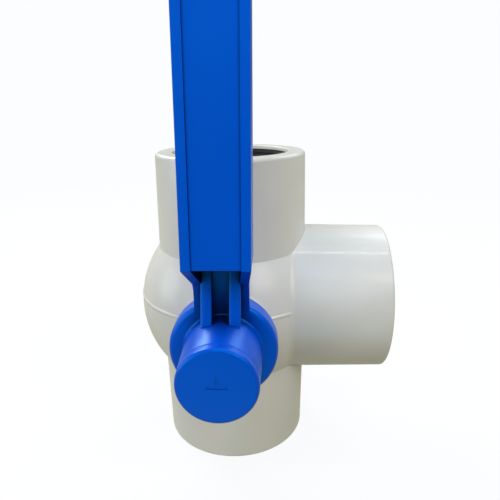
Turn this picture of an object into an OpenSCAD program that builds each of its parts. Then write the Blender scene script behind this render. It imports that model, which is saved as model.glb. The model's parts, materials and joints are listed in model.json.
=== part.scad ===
// Three-way ball valve with plain pipe sockets and a lever handle.
// Origin: centre of the lower socket's mouth, on the plane that the valve stands on.
// +Z runs up the two in-line sockets, +X points out of the side socket, and -Y points out of the stem.

/* [Sockets] */
// Radius of each pipe socket's bore
socket_bore_r = 16.1; // [15.7:0.1:20]
// Depth that a pipe goes in to its stop
socket_depth = 22; // [16:0.5:28]
// Thickness of the socket wall at the mouth
socket_wall = 4.7; // [3.6:0.1:6]
// Least amount that a socket is wider at its root than at its mouth
socket_taper = 0.4; // [0:0.1:2]
// Thickness of the pipe stop behind each in-line seat
run_stop_t = 2.1; // [1.5:0.1:4]
// Thickness of the pipe stop behind the side seat
side_stop_t = 2.7; // [1.5:0.1:4]
// Size of the rounding on a mouth's outer edge
lip_round = 1.0; // [0.3:0.1:1.5]

/* [Mouth rings] */
// Distance from the mouth to the ring's groove
ring_inset = 1; // [1:0.1:4]
// Height of the ring's groove
ring_groove_h = 5; // [2:0.1:8]
// Depth of the ring's groove in the socket wall
ring_groove_t = 1.9; // [1:0.1:2.8]
// Gap between the ring and its groove
ring_gap = 0.05; // [0.02:0.01:0.15]

/* [Ball and seats] */
// Radius of the ball
ball_r = 19; // [17.5:0.1:23]
// Radius of the ball's ports
port_r = 11; // [8:0.1:11.7]
// Gap between the ball and the seats
seat_fit = 0.05; // [0.02:0.01:0.1]
// Gap between the ball and the body around it
chamber_gap = 0.4; // [0.3:0.05:0.8]
// Width of the band outside a port that a seat presses on
seat_band = 1.35; // [0.8:0.05:2]
// Gap that a seat's bore leaves around a port
seat_bore_gap = 0.2; // [0.1:0.05:0.4]
// Width of a seat, from the port's edge to its own outer edge
seat_w = 3.2; // [2.4:0.1:3.8]
// Thickness of a seat
seat_t = 3; // [2.4:0.1:4]
// Thickness of the cushion ring's cross-section behind a seat
cushion_d = 1.4; // [1:0.1:1.8]
// Gap around seats, cushions and the carrier
nest_gap = 0.05; // [0.02:0.01:0.1]

/* [Body] */
// Width of the land around the chamber that an in-line socket sits on
land_w = 1.8; // [1.4:0.1:4]
// Least height from the side opening up to that land
side_ledge = 1.1; // [0.8:0.1:4]
// Length of an in-line socket's spigot inside the body
spigot_len = 4; // [2:0.1:7]
// How far the side seat reaches into its carrier
carrier_lap = 1.3; // [0.6:0.1:2.2]
// How much smaller the carrier is than the pipe, so that it goes in through the side socket
carrier_step = 0.5; // [0.2:0.1:0.7]
// Gap between the spigots and the carrier
carrier_relief = 0.6; // [0.2:0.1:1]
// Radius of the fillet between the body and the side socket
side_fillet_r = 4; // [2:0.5:6]
// Height of the parting ridge above the ball's centre
ridge_z = 3; // [0:0.5:8]
// Width of the parting ridge at its foot
ridge_w = 1.4; // [0.8:0.1:2.5]
// How far the parting ridge stands out of the body
ridge_proud = 0.4; // [0.2:0.05:0.8]
// Thickness of the stem neck's wall
neck_wall = 3.52; // [3:0.02:4.4]
// How far the stem neck stands out of the sphere
neck_proud = 5.6; // [4.8:0.1:8]

/* [Stem] */
// Radius of the stem's shaft
stem_r = 6; // [5.4:0.1:7.4]
// Running gap between the shaft and the neck's bore
stem_gap = 0.08; // [0.03:0.01:0.1]
// How far the stem's flange stands out of the shaft
flange_lip = 2.2; // [1.6:0.1:3]
// Thickness of the stem's flange
flange_t = 1.7; // [1.2:0.1:2.4]
// Gap around the flange and behind it
flange_gap = 0.2; // [0.1:0.05:0.3]
// Thickness of the thrust washer
thrust_t = 0.8; // [0.5:0.1:1]
// Depth of the stem's tang in the ball
tang_depth = 3.8; // [2.5:0.1:5]
// Thickness of the stem's tang
tang_t = 5.6; // [4:0.1:7]
// Length of the stem's tang
tang_len = 14; // [10:0.1:15]
// Gap on each side of the tang
tang_gap = 0.15; // [0.1:0.05:0.3]
// Size across the flats of the stem's square head
square_af = 8.4; // [7:0.1:9]
// Length of the square head
square_len = 7.4; // [6:0.1:10]
// Gap on each side of the square head
square_gap = 0.1; // [0.05:0.01:0.15]
// Thickness of the stem's O-ring cross-section
o_ring_d = 1.8; // [1.4:0.1:2.2]
// Distance from the thrust washer to the middle of the inner O-ring
o_ring_inset = 2.4; // [1.6:0.1:3]
// Distance between the middles of the O-rings
o_ring_pitch = 3.6; // [2.8:0.1:4.4]

/* [Lever hub] */
// Gap between the neck and the skirt, where the travel stops are
skirt_gap = 1.9; // [1.4:0.1:3]
// Thickness of the skirt's side wall
skirt_wall = 1.5; // [1.2:0.1:2.5]
// How far the skirt reaches down over the neck
skirt_lap = 2.3; // [1.5:0.1:4]
// Gap between the end of the neck and the skirt's roof
roof_gap = 0.8; // [0.5:0.1:1.5]
// Thickness of the skirt's roof
roof_t = 2.2; // [1.8:0.1:4]
// Size of the rounding on the skirt's front edge
skirt_round = 1.2; // [0.4:0.1:1.6]
// Radius of the boss at its root
boss_root_r = 9.35; // [9:0.05:11]
// Radius of the cap at its front
boss_front_r = 9; // [8.6:0.05:10.5]
// Thickness of the boss's floor, which the screw holds
floor_t = 2; // [1.6:0.1:3]
// Radius of the screw's well
well_r = 6.4; // [6.3:0.1:7]
// Depth of the screw's well
well_depth = 5.8; // [3.6:0.1:6]
// Thickness of the cap's disc
cap_t = 2.4; // [1.8:0.1:4]
// Size of the rounding on the cap's front edge
cap_round = 0.8; // [0.3:0.1:1.5]
// Thickness of the ring that plugs the cap into the well
cap_ring_t = 1.1; // [0.8:0.1:1.2]
// Length of that ring
cap_ring_h = 2.6; // [1.5:0.1:3]

/* [Lever arm] */
// Length of the lever, from the stem's axis to its tip
lever_len = 105; // [85:1:130]
// Width of the arm where its face plate starts
arm_root_w = 14.6; // [13:0.1:18]
// Width of the arm at its tip
arm_tip_w = 15.4; // [13:0.1:20]
// Width of the neck between the skirt and the arm
arm_neck_w = 12.8; // [11:0.1:12.9]
// Distance from the stem's axis to the lower edge of the face plate
plate_start = 23.4; // [22:0.1:28]
// Length of the slope that widens the neck to the arm
neck_slope = 6; // [3:0.1:7]
// How far the face plate's lower edge stands in front of the skirt
arm_rise = 9.3; // [6.5:0.1:10]
// How far the arm's front leans back for each millimetre of its length
arm_lean = 0.12; // [0:0.01:0.13]
// Depth of the arm at its tip
arm_tip_t = 6.6; // [6:0.1:8]
// Thickness of the arm's side flanges
flange_wall = 2.1; // [1.6:0.1:2.4]
// How far the flanges stand proud of the face plate
rim_h = 0.5; // [0.3:0.1:0.8]
// Thickness of the face plate
plate_t = 2.2; // [1.8:0.1:2.6]
// Length of the open pocket under the lower edge of the face plate
pocket_len = 8; // [6:0.1:10]
// Thickness of the wall that closes that pocket
pocket_wall = 2; // [1.5:0.1:3]
// Number of cross ribs behind the face plate
cross_ribs = 4; // [0:1:6]
// Thickness of a cross rib
cross_rib_t = 1.6; // [1:0.1:2.4]
// Distance from the middle of the neck to each neck rib
neck_rib_in = 1.9; // [1.2:0.1:2.4]
// Thickness of a neck rib
neck_rib_t = 2.6; // [1.8:0.1:2.8]
// Height of a neck rib above the skirt, beside the boss
neck_rib_root = 5; // [3:0.1:6]
// Height of a neck rib above the skirt, at the arm
neck_rib_top = 1; // [0.5:0.1:2]

/* [Travel] */
// Angle that the lever turns through between its stops
travel = 180; // [90:5:200]
// Angle that the lever's stop lug covers
lug_angle = 60; // [30:5:70]
// Angle left open at each stop
stop_gap = 1; // [0.5:0.5:3]
// Gap between a stop and the wall that it sweeps past
stop_clear = 0.3; // [0.2:0.05:0.5]

/* [Screw] */
// Radius of the lever screw's shank
screw_r = 2; // [1.5:0.1:2.4]
// Gap around the shank in the lever's floor
screw_gap = 0.25; // [0.1:0.05:0.5]
// Length of the screw under its head
screw_len = 13; // [9:0.5:16]
// Radius of the screw's head
screw_head_r = 3.8; // [3.4:0.1:4.2]
// Height of the screw's head
screw_head_h = 2.1; // [1.8:0.1:2.4]
// Radius of the washer under the head
washer_r = 5; // [4.5:0.1:5.1]
// Thickness of the washer
washer_t = 0.8; // [0.5:0.1:1]
// Width of the head's cross recess
recess_w = 1; // [0.6:0.1:1.4]
// Length of the head's cross recess
recess_len = 4; // [3:0.1:5]
// Depth of the head's cross recess
recess_depth = 1.3; // [0.6:0.1:1.5]

/* [Hidden] */
$fn = 96;

// How far a cut runs past a face, and how far joined shapes reach into each other
over = 1;
// How deep the foot of a thin ridge is sunk into its wall
sink = 0.1;
// Steps in the roundings and in the side fillet
lip_steps = 3;
fillet_steps = 6;
tip_steps = 24;
ring_facets = 32;

// Colours
pvc_white = [0.90, 0.91, 0.90];
ball_white = [0.86, 0.87, 0.88];
seat_white = [0.95, 0.95, 0.92];
lever_blue = [0.0, 0.28, 0.72];
rubber_black = [0.06, 0.06, 0.07];
steel_grey = [0.70, 0.71, 0.72];

// Seats, from the ball's centre: a seat's front face lies where its band on the ball ends
chamber_r = ball_r + chamber_gap;
seat_r = port_r + seat_w;
seat_pocket_r = seat_r + nest_gap;
seat_front = round(10 * sqrt(pow(ball_r + seat_fit, 2) - pow(port_r + seat_band, 2))) / 10;
seat_back = seat_front + seat_t;
cushion_back = seat_back + cushion_d + 2 * nest_gap;
cushion_mid_r = seat_r - cushion_d / 2 - 4 * nest_gap;

// Sockets: a root covers the chamber's land, and it is never narrower than the mouth
run_stop = cushion_back + run_stop_t;
side_stop = cushion_back + side_stop_t;
run_half = run_stop + socket_depth;
side_half = side_stop + socket_depth;
socket_mouth_r = socket_bore_r + socket_wall;
socket_root_r = max(chamber_r + land_w, socket_mouth_r + socket_taper);
carrier_r = socket_bore_r - carrier_step;
carrier_front = seat_back - carrier_lap;

// The sphere meets each land at the socket's own radius, and the land clears the side opening
body_r = ceil(10 * norm([socket_root_r, carrier_r + side_ledge])) / 10;
land_half = sqrt(pow(body_r, 2) - pow(socket_root_r, 2));
branch_foot_r = chamber_r - 2 * over;
branch_foot_d = land_half - spigot_len - over;

// Radii around the stem
neck_r = stem_r + stem_gap + neck_wall;
flange_r = stem_r + flange_lip;
skirt_bore_r = neck_r + skirt_gap;
skirt_r = skirt_bore_r + skirt_wall;
lug_r = neck_r + stop_clear;
stop_r = skirt_bore_r - stop_clear;
o_ring_mid_r = stem_r + stem_gap - nest_gap - o_ring_d / 2;
o_groove_h = o_ring_d + 6 * nest_gap;
screw_hole_r = screw_r + screw_gap;

// Distances along the stem, from the ball's centre
slot_floor = ball_r - tang_depth;
flange_back = chamber_r + flange_gap / 2;
flange_front = flange_back + flange_t;
thrust_front = flange_front + nest_gap + thrust_t;
o_ring_inner_w = thrust_front + o_ring_inset;
o_ring_outer_w = o_ring_inner_w + o_ring_pitch;
neck_end = body_r + neck_proud;
skirt_back = neck_end - skirt_lap;
roof_back = neck_end + roof_gap;
skirt_front = roof_back + roof_t;
square_start = neck_end + flange_gap;
square_end = square_start + square_len;
floor_back = square_end + 3 * square_gap;
floor_front = floor_back + floor_t;
boss_end = floor_front + well_depth;
cap_back = boss_end + 2 * nest_gap;
cap_front = cap_back + cap_t;
screw_seat = floor_front + washer_t;
screw_tip = screw_seat - screw_len;
head_round = 0.8;

// The arm, seen from the side: distances along the arm, and distances along the stem
pocket_end = plate_start + pocket_len;
channel_start = pocket_end + pocket_wall;
slope_start = plate_start - neck_slope;
arm_front = skirt_front + arm_rise;
tip_front = arm_front - arm_lean * (lever_len - plate_start);
tip_back = tip_front - arm_tip_t;
rib_root_w = skirt_front + neck_rib_root;
rib_top_w = skirt_front + neck_rib_top;
rib_foot = well_r + 0.6;
arm_side = max(arm_root_w, arm_tip_w) / 2 + over;
arm_low = min(roof_back, tip_back) - over;

// Points of an arc, for an outline
function arc(cx, cy, r, a0, a1, steps) =
    [for (i = [0:steps]) let (a = a0 + (a1 - a0) * i / steps) [cx + r * cos(a), cy + r * sin(a)]];

// Outer radius of a socket, at a distance from the ball's centre
function socket_r(d, end) =
    socket_root_r + (socket_mouth_r - socket_root_r) * (d - land_half) / (end - land_half);

// Front of the arm, at a distance from the stem's axis
function arm_front_at(y) = arm_front - arm_lean * (y - plate_start);

// Frames: each puts the ball's centre at the origin, with local +Z out of one opening
module at_top() { translate([0, 0, run_half]) children(); }
module at_bottom() { translate([0, 0, run_half]) rotate([180, 0, 0]) children(); }
module at_side() { translate([0, 0, run_half]) rotate([0, 90, 0]) children(); }
module at_stem() { translate([0, 0, run_half]) rotate([90, 0, 0]) children(); }

// A ring turned about local +Z
module ring(r_in, r_out, z0, z1) {
    translate([0, 0, z0]) difference() {
        cylinder(r = r_out, h = z1 - z0);
        translate([0, 0, -over]) cylinder(r = r_in, h = z1 - z0 + 2 * over);
    }
}

// A sector of a ring, centred on an angle from local +X
module sector(r_in, r_out, z0, z1, mid, angle) {
    translate([0, 0, z0]) rotate([0, 0, mid - angle / 2]) rotate_extrude(angle = angle)
        translate([r_in, 0]) square([r_out - r_in, z1 - z0]);
}

// A ring of round cross-section about local +Z
module o_ring(r_mid, d, z) {
    translate([0, 0, z]) rotate_extrude() translate([r_mid, 0]) circle(r = d / 2, $fn = ring_facets);
}

// The outside of a socket, from a start to its rounded mouth
module socket_outer(start, end) {
    rotate_extrude() polygon(concat(
        [[0, start], [socket_r(start, end), start]],
        arc(socket_r(end, end) - lip_round, end - lip_round, lip_round, 0, 90, lip_steps),
        [[0, end]]));
}

// The inside of a socket's mouth: the pipe's bore and the ring's groove
module socket_bore(stop, end) {
    translate([0, 0, stop]) cylinder(r = socket_bore_r, h = end - stop + over);
    translate([0, 0, end - ring_inset - ring_groove_h])
        cylinder(r = socket_bore_r + ring_groove_t, h = ring_groove_h);
}

// The side branch: its fillet leaves the sphere where both have the same slope
module branch_outer() {
    centre_r = socket_root_r + side_fillet_r;
    centre_d = sqrt(pow(body_r + side_fillet_r, 2) - pow(centre_r, 2));
    touch = atan2(centre_r, centre_d);
    rotate_extrude() polygon(concat(
        [[0, branch_foot_d], [branch_foot_r, branch_foot_d]],
        arc(centre_r, centre_d, side_fillet_r, 270 - touch, 180, fillet_steps),
        arc(socket_mouth_r - lip_round, side_half - lip_round, lip_round, 0, 90, lip_steps),
        [[0, side_half]]));
}

module parting_ridge() {
    foot = sqrt(pow(body_r, 2) - pow(ridge_z, 2));
    translate([0, 0, ridge_z]) rotate_extrude() polygon([
        [foot - over, -ridge_w / 2], [foot - sink, -ridge_w / 2], [foot + ridge_proud, -ridge_w / 5],
        [foot + ridge_proud, ridge_w / 5], [foot - sink, ridge_w / 2], [foot - over, ridge_w / 2]]);
}

// The moulded body: a sphere with a flat land at each end, the side branch and the stem neck
module valve_body() {
    stop_angle = 360 - travel - lug_angle - 2 * stop_gap;
    stop_foot = sqrt(pow(body_r, 2) - pow(stop_r, 2)) - 2 * over;
    color(pvc_white) difference() {
        union() {
            at_top() intersection() {
                sphere(r = body_r);
                cylinder(r = body_r + over, h = 2 * land_half, center = true);
            }
            difference() {
                at_side() branch_outer();
                for (run = [0, 1]) at_top() mirror([0, 0, run]) translate([0, 0, land_half])
                    cylinder(r = socket_root_r, h = body_r);
            }
            at_top() parting_ridge();
            at_stem() cylinder(r = neck_r, h = neck_end);
            at_stem() sector(neck_r - over, stop_r, stop_foot, neck_end - stop_clear,
                90 - travel / 2, stop_angle);
        }
        at_top() cylinder(r = chamber_r, h = 3 * body_r, center = true);
        at_side() cylinder(r = seat_pocket_r, h = side_half);
        at_side() translate([0, 0, carrier_front]) cylinder(r = carrier_r, h = side_half);
        at_side() socket_bore(side_stop, side_half);
        at_stem() cylinder(r = stem_r + stem_gap, h = neck_end + over);
        at_stem() cylinder(r = flange_r + flange_gap, h = thrust_front + nest_gap);
    }
}

// An in-line socket: it sits on the body's land, and its spigot reaches in around the ball
module connector() {
    difference() {
        union() {
            socket_outer(land_half, run_half);
            translate([0, 0, land_half - spigot_len])
                cylinder(r = chamber_r - nest_gap, h = spigot_len + over);
        }
        socket_bore(run_stop, run_half);
        cylinder(r = port_r, h = run_half);
        cylinder(r = seat_pocket_r, h = cushion_back);
        sphere(r = chamber_r);
        rotate([0, 90, 0]) cylinder(r = carrier_r + carrier_relief, h = body_r);
    }
}

module top_connector() { color(pvc_white) at_top() connector(); }
module bottom_connector() { color(pvc_white) at_top() mirror([0, 0, 1]) connector(); }

module mouth_ring(end) {
    color(rubber_black) ring(socket_bore_r + ring_gap, socket_bore_r + ring_groove_t - ring_gap,
        end - ring_inset - ring_groove_h + ring_gap, end - ring_inset - ring_gap);
}

module seat() {
    color(seat_white) difference() {
        ring(port_r + seat_bore_gap, seat_r, seat_front, seat_back);
        sphere(r = ball_r + seat_fit);
    }
}

module seat_cushion() {
    color(rubber_black) o_ring(cushion_mid_r, cushion_d, seat_back + nest_gap + cushion_d / 2);
}

module side_seat_carrier() {
    color(pvc_white) at_side() difference() {
        ring(port_r, carrier_r - nest_gap, carrier_front + nest_gap, side_stop);
        cylinder(r = seat_pocket_r, h = cushion_back);
    }
}

// The ball: its ports make a tee whose stem points along the lever, and its slot takes the stem's tang
module ball() {
    color(ball_white) difference() {
        at_top() sphere(r = ball_r);
        at_top() cylinder(r = port_r, h = 2 * ball_r);
        at_side() cylinder(r = port_r, h = 4 * ball_r, center = true);
        at_stem() translate([-tang_t / 2 - tang_gap, -ball_r, slot_floor])
            cube([tang_t + 2 * tang_gap, 2 * ball_r, ball_r]);
    }
}

module stem() {
    color(pvc_white) at_stem() difference() {
        union() {
            translate([-tang_t / 2, -tang_len / 2, slot_floor + tang_gap])
                cube([tang_t, tang_len, flange_front - slot_floor - tang_gap]);
            translate([0, 0, flange_back]) cylinder(r = flange_r, h = flange_t);
            translate([0, 0, flange_back]) cylinder(r = stem_r, h = square_start - flange_back);
            translate([-square_af / 2, -square_af / 2, square_start - over])
                cube([square_af, square_af, square_len + over]);
        }
        for (w = [o_ring_inner_w, o_ring_outer_w]) translate([0, 0, w])
            ring(o_ring_mid_r - o_ring_d / 2 - nest_gap, stem_r + over, -o_groove_h / 2, o_groove_h / 2);
        translate([0, 0, screw_tip - over]) cylinder(r = screw_r + nest_gap, h = square_end);
    }
}

module stem_thrust_washer() {
    color(seat_white) at_stem()
        ring(stem_r + 2 * stem_gap, flange_r, flange_front + nest_gap, thrust_front);
}

module stem_o_ring(w) {
    color(rubber_black) at_stem() o_ring(o_ring_mid_r, o_ring_d, w);
}

// The lever's outline from the front, inset by a wall
function arm_outline(inset) = concat(
    [[arm_neck_w / 2 - inset, 0], [arm_neck_w / 2 - inset, slope_start],
        [arm_root_w / 2 - inset, plate_start]],
    arc(0, lever_len - arm_tip_w / 2, arm_tip_w / 2 - inset, 0, 180, tip_steps),
    [[inset - arm_root_w / 2, plate_start], [inset - arm_neck_w / 2, slope_start],
        [inset - arm_neck_w / 2, 0]]);

module front_prism(inset) {
    translate([0, 0, arm_low]) linear_extrude(height = arm_front - arm_low + over)
        polygon(arm_outline(inset));
}

// A flat piece seen from the side: each point is a distance along the arm, then one along the stem
module side_prism(points, x0, x1) {
    translate([x0, 0, 0]) rotate([90, 0, 90]) linear_extrude(height = x1 - x0) polygon(points);
}

// A wall across the arm, from its open back into the face plate
module cross_wall(y0, y1) {
    side_prism([[y0, arm_low - over], [y1, arm_low - over], [y1, arm_front_at(y1) - rim_h - plate_t / 2],
        [y0, arm_front_at(y0) - rim_h - plate_t / 2]], -arm_side, arm_side);
}

// The solid sheet of the face plate, sunk between the flanges
module face_plate() {
    side_prism([[plate_start, arm_front - rim_h - plate_t], [plate_start, arm_front - rim_h],
        [lever_len, tip_front - rim_h], [lever_len, tip_front - rim_h - plate_t]], -arm_side, arm_side);
}

module arm() {
    rib_pitch = (lever_len - channel_start) / (cross_ribs + 1);
    difference() {
        intersection() {
            front_prism(0);
            side_prism([[0, roof_back], [pocket_end, roof_back], [lever_len, tip_back],
                [lever_len, tip_front], [plate_start, arm_front], [slope_start, rib_top_w],
                [slope_start - 2 * over, skirt_front], [0, skirt_front]], -arm_side, arm_side);
        }
        difference() {
            front_prism(flange_wall);
            face_plate();
            side_prism([[-over, roof_back - over], [pocket_end + over, roof_back - over],
                [pocket_end + over, skirt_front], [-over, skirt_front]], -arm_side, arm_side);
            cross_wall(pocket_end, channel_start);
            for (i = [1:1:cross_ribs])
                cross_wall(channel_start + i * rib_pitch, channel_start + i * rib_pitch + cross_rib_t);
        }
    }
    for (side = [0, 1]) mirror([side, 0, 0])
        side_prism([[rib_foot, roof_back + over], [rib_foot, rib_root_w],
            [slope_start + 2 * over, rib_top_w],
            [pocket_end + over, rib_top_w], [pocket_end + over, roof_back + over]],
            neck_rib_in, neck_rib_in + neck_rib_t);
}

module skirt() {
    rotate_extrude() polygon(concat([[0, skirt_back], [skirt_r, skirt_back]],
        arc(skirt_r - skirt_round, skirt_front - skirt_round, skirt_round, 0, 90, lip_steps),
        [[0, skirt_front]]));
}

// Outer radius of the boss and its cap, at a distance along the stem
function boss_r(w) =
    boss_root_r + (boss_front_r - boss_root_r) * (w - skirt_front) / (cap_front - skirt_front);

module lever() {
    square_hole = square_af + 2 * square_gap;
    color(lever_blue) at_stem() {
        difference() {
            union() {
                skirt();
                translate([0, 0, skirt_front - over]) cylinder(r1 = boss_r(skirt_front - over),
                    r2 = boss_r(boss_end), h = boss_end - skirt_front + over);
                arm();
            }
            translate([0, 0, skirt_back - over])
                cylinder(r = skirt_bore_r, h = roof_back - skirt_back + over);
            translate([-square_hole / 2, -square_hole / 2, roof_back - over])
                cube([square_hole, square_hole, floor_back - roof_back + over]);
            translate([0, 0, floor_back - over]) cylinder(r = screw_hole_r, h = cap_front);
            translate([0, 0, floor_front]) cylinder(r = well_r, h = cap_front);
        }
        sector(lug_r, skirt_bore_r + over / 2, skirt_back + over / 2, roof_back + over / 2, -90, lug_angle);
    }
}

module lever_washer() {
    color(steel_grey) at_stem() ring(screw_hole_r, washer_r, floor_front, floor_front + washer_t);
}

module lever_screw() {
    color(steel_grey) at_stem() difference() {
        union() {
            translate([0, 0, screw_tip]) cylinder(r = screw_r, h = screw_len);
            rotate_extrude() polygon(concat([[0, screw_seat], [screw_head_r, screw_seat]],
                arc(screw_head_r - head_round, screw_seat + screw_head_h - head_round, head_round,
                    0, 90, lip_steps),
                [[0, screw_seat + screw_head_h]]));
        }
        for (turn = [0, 90]) rotate([0, 0, turn])
            translate([-recess_w / 2, -recess_len / 2, screw_seat + screw_head_h - recess_depth])
                cube([recess_w, recess_len, screw_head_h]);
    }
}

// The cap: a disc over the boss, with a ring that plugs into the screw's well
module lever_cap() {
    color(lever_blue) at_stem() {
        rotate_extrude() polygon(concat([[0, cap_back], [boss_r(cap_back), cap_back]],
            arc(boss_front_r - cap_round, cap_front - cap_round, cap_round, 0, 90, lip_steps),
            [[0, cap_front]]));
        ring(well_r - cap_ring_t, well_r - nest_gap, cap_back - cap_ring_h, cap_back + over / 2);
    }
}

valve_body();
top_connector();
bottom_connector();
at_top() mouth_ring(run_half);  // top_mouth_ring
at_bottom() mouth_ring(run_half);  // bottom_mouth_ring
at_side() mouth_ring(side_half);  // side_mouth_ring
ball();
at_top() seat();  // top_seat
at_bottom() seat();  // bottom_seat
at_side() seat();  // side_seat
at_top() seat_cushion();  // top_seat_cushion
at_bottom() seat_cushion();  // bottom_seat_cushion
at_side() seat_cushion();  // side_seat_cushion
side_seat_carrier();
stem();
stem_thrust_washer();
stem_o_ring(o_ring_inner_w);  // stem_o_ring_inner
stem_o_ring(o_ring_outer_w);  // stem_o_ring_outer
lever();
lever_washer();
lever_screw();
lever_cap();
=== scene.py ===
"""Looks of a three-way plastic ball valve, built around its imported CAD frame.

Every moulded piece that shows is remodelled here at full smoothness in the place that the frame
gives it: the body, the two in-line sockets, the mouth rings, the ball, the seat carrier, the lever
and its cap. The small hidden pieces stay as the frame has them and only get their finishes.
"""

import json
import logging
import math
from dataclasses import dataclass, field
from enum import Enum
from typing import Callable, Iterable, Sequence

import bmesh
import bpy
from mathutils import Matrix, Vector


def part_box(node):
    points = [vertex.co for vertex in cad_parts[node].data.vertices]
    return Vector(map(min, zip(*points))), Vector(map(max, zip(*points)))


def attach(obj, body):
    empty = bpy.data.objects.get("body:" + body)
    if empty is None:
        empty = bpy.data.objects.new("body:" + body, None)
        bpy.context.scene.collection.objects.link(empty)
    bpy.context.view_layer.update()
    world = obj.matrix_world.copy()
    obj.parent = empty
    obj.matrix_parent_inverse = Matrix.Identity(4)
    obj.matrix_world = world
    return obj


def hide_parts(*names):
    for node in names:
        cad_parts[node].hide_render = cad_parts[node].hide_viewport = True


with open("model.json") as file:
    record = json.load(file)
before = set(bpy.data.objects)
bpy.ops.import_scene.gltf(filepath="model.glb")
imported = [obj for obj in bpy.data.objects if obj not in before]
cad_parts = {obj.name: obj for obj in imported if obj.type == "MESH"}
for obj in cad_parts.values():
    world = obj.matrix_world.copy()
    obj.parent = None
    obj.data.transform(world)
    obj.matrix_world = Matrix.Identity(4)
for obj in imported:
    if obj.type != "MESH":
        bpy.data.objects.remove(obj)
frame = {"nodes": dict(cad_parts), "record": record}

LOG = logging.getLogger("ball_valve")
MM = 0.001

Point = tuple[float, float]
Profile = list[Point]
Colour = tuple[float, float, float]


class Facing(Enum):
    """Which way a piece's own axis points out of the ball's centre."""

    TOP = Matrix.Identity(4)
    BOTTOM = Matrix.Rotation(math.pi, 4, "X")
    SIDE = Matrix.Rotation(math.pi / 2, 4, "Y")
    STEM = Matrix.Rotation(math.pi / 2, 4, "X")


class Cut(Enum):
    """How one solid changes another."""

    JOIN = "UNION"
    REMOVE = "DIFFERENCE"
    KEEP = "INTERSECT"


# ---------------------------------------------------------------- mesh tools


def arc(centre: Point, radius: float, start: float, end: float, steps: int = 8) -> Profile:
    """Points along an arc.

    Args:
        centre: The arc's centre.
        radius: Its radius.
        start: The first angle, in degrees.
        end: The last angle, in degrees.
        steps: How many straight steps the arc has.

    Returns:
        The points, first and last included.
    """
    angles = [math.radians(start + (end - start) * i / steps) for i in range(steps + 1)]
    return [(centre[0] + radius * math.cos(a), centre[1] + radius * math.sin(a)) for a in angles]


def rectangle(x0: float, y0: float, x1: float, y1: float) -> Profile:
    """The four corners of a rectangle.

    Args:
        x0: Its least first coordinate.
        y0: Its least second coordinate.
        x1: Its greatest first coordinate.
        y1: Its greatest second coordinate.

    Returns:
        The corners in turn, starting from the lowest.
    """
    return [(x0, y0), (x1, y0), (x1, y1), (x0, y1)]


def spin(profile: Sequence[Point], closed: bool = False, steps: int = 128) -> bmesh.types.BMesh:
    """Turns an outline about the Z axis into a closed solid.

    Args:
        profile: Radius and height of each point, in millimetres.
        closed: True for a ring, whose outline comes back to its first point.
        steps: How many steps the full turn has.

    Returns:
        The solid, still in millimetres about the Z axis.
    """
    bm = bmesh.new()
    verts = [bm.verts.new((r, 0.0, z)) for r, z in profile]
    for a, b in zip(verts, verts[1:] + verts[:1] if closed else verts[1:]):
        bm.edges.new((a, b))
    bmesh.ops.spin(bm, geom=bm.verts[:] + bm.edges[:], cent=(0, 0, 0), axis=(0, 0, 1),
                   angle=math.tau, steps=steps, use_merge=True)
    bmesh.ops.remove_doubles(bm, verts=bm.verts[:], dist=1e-4)
    bmesh.ops.recalc_face_normals(bm, faces=bm.faces[:])
    return bm


def prism(outline: Sequence[Point], low: float, high: float, sideways: bool = False) -> bmesh.types.BMesh:
    """Extrudes an outline into a straight bar.

    Args:
        outline: The corners, in millimetres.
        low: Where the bar starts along its own axis.
        high: Where it ends.
        sideways: False for an outline in X and Y that runs along Z, and True for an outline in
            Y and Z that runs along X.

    Returns:
        The bar, in millimetres.
    """
    bm = bmesh.new()
    place: Callable[[Point], tuple[float, float, float]]
    place = (lambda p: (low, p[0], p[1])) if sideways else (lambda p: (p[0], p[1], low))
    face = bm.faces.new([bm.verts.new(place(p)) for p in outline])
    made = bmesh.ops.extrude_face_region(bm, geom=[face])
    along = (high - low, 0, 0) if sideways else (0, 0, high - low)
    moved = [v for v in made["geom"] if isinstance(v, bmesh.types.BMVert)]
    bmesh.ops.translate(bm, vec=along, verts=moved)
    bmesh.ops.recalc_face_normals(bm, faces=bm.faces[:])
    return bm


def round_edges(bm: bmesh.types.BMesh, width: float, segments: int = 3, over: float = 30.0) -> None:
    """Rounds every edge that turns more sharply than an angle.

    Args:
        bm: The solid.
        width: The rounding's width, in millimetres.
        segments: How many steps the rounding has.
        over: The least angle between two faces, in degrees.
    """
    sharp = [e for e in bm.edges if len(e.link_faces) == 2 and e.calc_face_angle() > math.radians(over)]
    bmesh.ops.bevel(bm, geom=sharp, offset=width, offset_type="OFFSET", segments=segments,
                    profile=0.5, affect="EDGES", clamp_overlap=True, material=-1)
    bmesh.ops.remove_doubles(bm, verts=bm.verts[:], dist=1e-4)


def add_object(name: str, data: bpy.types.ID) -> bpy.types.Object:
    """Makes an object and puts it in the scene.

    Args:
        name: The object's name.
        data: Its mesh, light or camera.

    Returns:
        The object, at the origin.
    """
    obj = bpy.data.objects.new(name, data)
    bpy.context.scene.collection.objects.link(obj)
    return obj


def solid(name: str, bm: bmesh.types.BMesh, facing: Facing, centre: Vector) -> bpy.types.Object:
    """Puts a solid in its place in the row frame.

    Args:
        name: The object's name.
        bm: The solid, in millimetres about its own axis. It is freed.
        facing: Where its axis points.
        centre: The ball's centre, in metres.

    Returns:
        An object at the origin, with its place in its mesh.
    """
    bmesh.ops.transform(bm, verts=bm.verts[:],
                        matrix=Matrix.Translation(centre) @ facing.value @ Matrix.Scale(MM, 4))
    bmesh.ops.recalc_face_normals(bm, faces=bm.faces[:])
    mesh = bpy.data.meshes.new(name)
    bm.to_mesh(mesh)
    bm.free()
    return add_object(name, mesh)


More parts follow.
